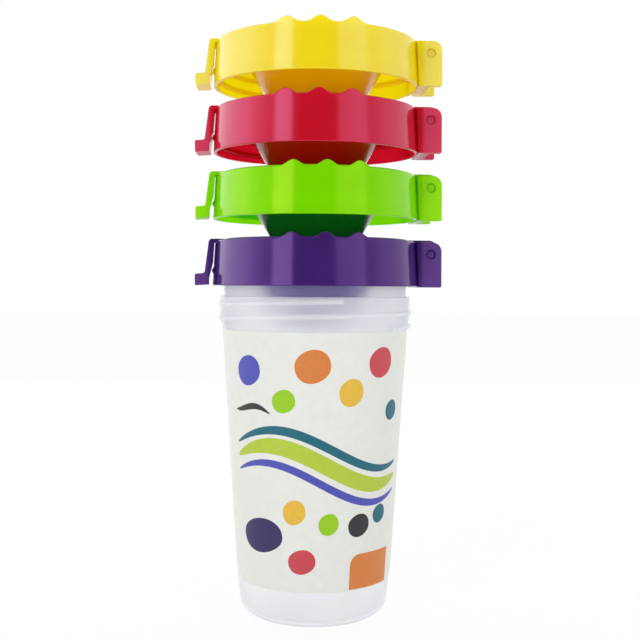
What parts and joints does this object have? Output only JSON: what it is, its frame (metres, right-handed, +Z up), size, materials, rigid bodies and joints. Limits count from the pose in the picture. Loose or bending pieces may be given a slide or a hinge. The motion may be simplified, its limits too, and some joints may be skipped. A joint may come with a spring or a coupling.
{
  "type": "paint cups with spill-proof lids",
  "caption": "Nested translucent paint cups with a stack of hinged spill-proof lids: scalloped collar, funnel insert and latched cap.",
  "frame": {"origin": "middle of the outer cup's base", "axes": "+Z up along the stack, -Y towards the middle of the sticker, +X towards the caps' hinges"},
  "size_m": [0.09, 0.075, 0.2088],
  "materials": {
    "cup": "frosted, translucent",
    "paper": "satin coated paper",
    "purple": "glossy",
    "purple_dark": "glossy",
    "green": "glossy",
    "green_dark": "glossy",
    "pink": "glossy",
    "pink_dark": "glossy",
    "yellow": "glossy",
    "yellow_dark": "glossy"
  },
  "bodies": {
    "outer_beaker": {"outer_cup": "cup", "label": "paper"},
    "inner_beaker": {"inner_cup": "cup"},
    "purple_insert": {"purple_funnel": "purple_dark"},
    "purple_ring": {"purple_collar": "purple", "purple_hinge_pin": "purple"},
    "purple_flap": {"purple_cap": "purple"},
    "green_lid": {"green_collar": "green", "green_funnel": "green_dark", "green_hinge_pin": "green"},
    "green_flap": {"green_cap": "green"},
    "pink_lid": {"pink_collar": "pink", "pink_funnel": "pink_dark", "pink_hinge_pin": "pink"},
    "pink_flap": {"pink_cap": "pink"},
    "yellow_lid": {"yellow_collar": "yellow", "yellow_funnel": "yellow_dark", "yellow_hinge_pin": "yellow"},
    "yellow_flap": {"yellow_cap": "yellow"}
  },
  "joints": [
    {"name": "inner_cup_lift", "type": "slide", "parent": "outer_beaker", "child": "inner_beaker", "axis": [0, 0, 1], "range_m": [0, 0.1]},
    {"name": "purple_rise", "type": "slide", "parent": "inner_beaker", "child": "purple_insert", "axis": [0, 0, 1], "range_m": [0, 0.0076]},
    {"name": "purple_unscrew", "type": "hinge", "parent": "purple_insert", "child": "purple_ring", "pos_m": [0, 0, 0.11818], "axis": [0, 0, 1], "range_deg": [0, 540]},
    {"name": "purple_cap_hinge", "type": "hinge", "parent": "purple_ring", "child": "purple_flap", "pos_m": [0.04072, 0.00385, 0.12979], "axis": [-0.0941, 0.9956, 0], "range_deg": [0, 110]},
    {"name": "green_lid_lift", "type": "slide", "parent": "purple_ring", "child": "green_lid", "axis": [0, 0, 1], "range_m": [0, 0.17]},
    {"name": "green_cap_hinge", "type": "hinge", "parent": "green_lid", "child": "green_flap", "pos_m": [0.04066, 0.00442, 0.15388], "axis": [-0.108, 0.9942, 0], "range_deg": [0, 110]},
    {"name": "pink_lid_lift", "type": "slide", "parent": "green_lid", "child": "pink_lid", "axis": [0, 0, 1], "range_m": [0, 0.17]},
    {"name": "pink_cap_hinge", "type": "hinge", "parent": "pink_lid", "child": "pink_flap", "pos_m": [0.04088, 0.00114, 0.17799], "axis": [-0.0279, 0.9996, 0], "range_deg": [0, 110]},
    {"name": "yellow_lid_lift", "type": "slide", "parent": "pink_lid", "child": "yellow_lid", "axis": [0, 0, 1], "range_m": [0, 0.17]},
    {"name": "yellow_cap_hinge", "type": "hinge", "parent": "yellow_lid", "child": "yellow_flap", "pos_m": [0.04087, 0.00157, 0.20208], "axis": [-0.0384, 0.9993, 0], "range_deg": [0, 180]}
  ],
  "couplings": [
    {"joint": "purple_rise", "follows": "purple_unscrew", "m_per_rad": 0.00079577},
    {"joint": "purple_cap_hinge", "follows": "green_lid_lift", "rad_per_m": 11.25},
    {"joint": "green_cap_hinge", "follows": "pink_lid_lift", "rad_per_m": 11.25},
    {"joint": "pink_cap_hinge", "follows": "yellow_lid_lift", "rad_per_m": 11.25}
  ]
}
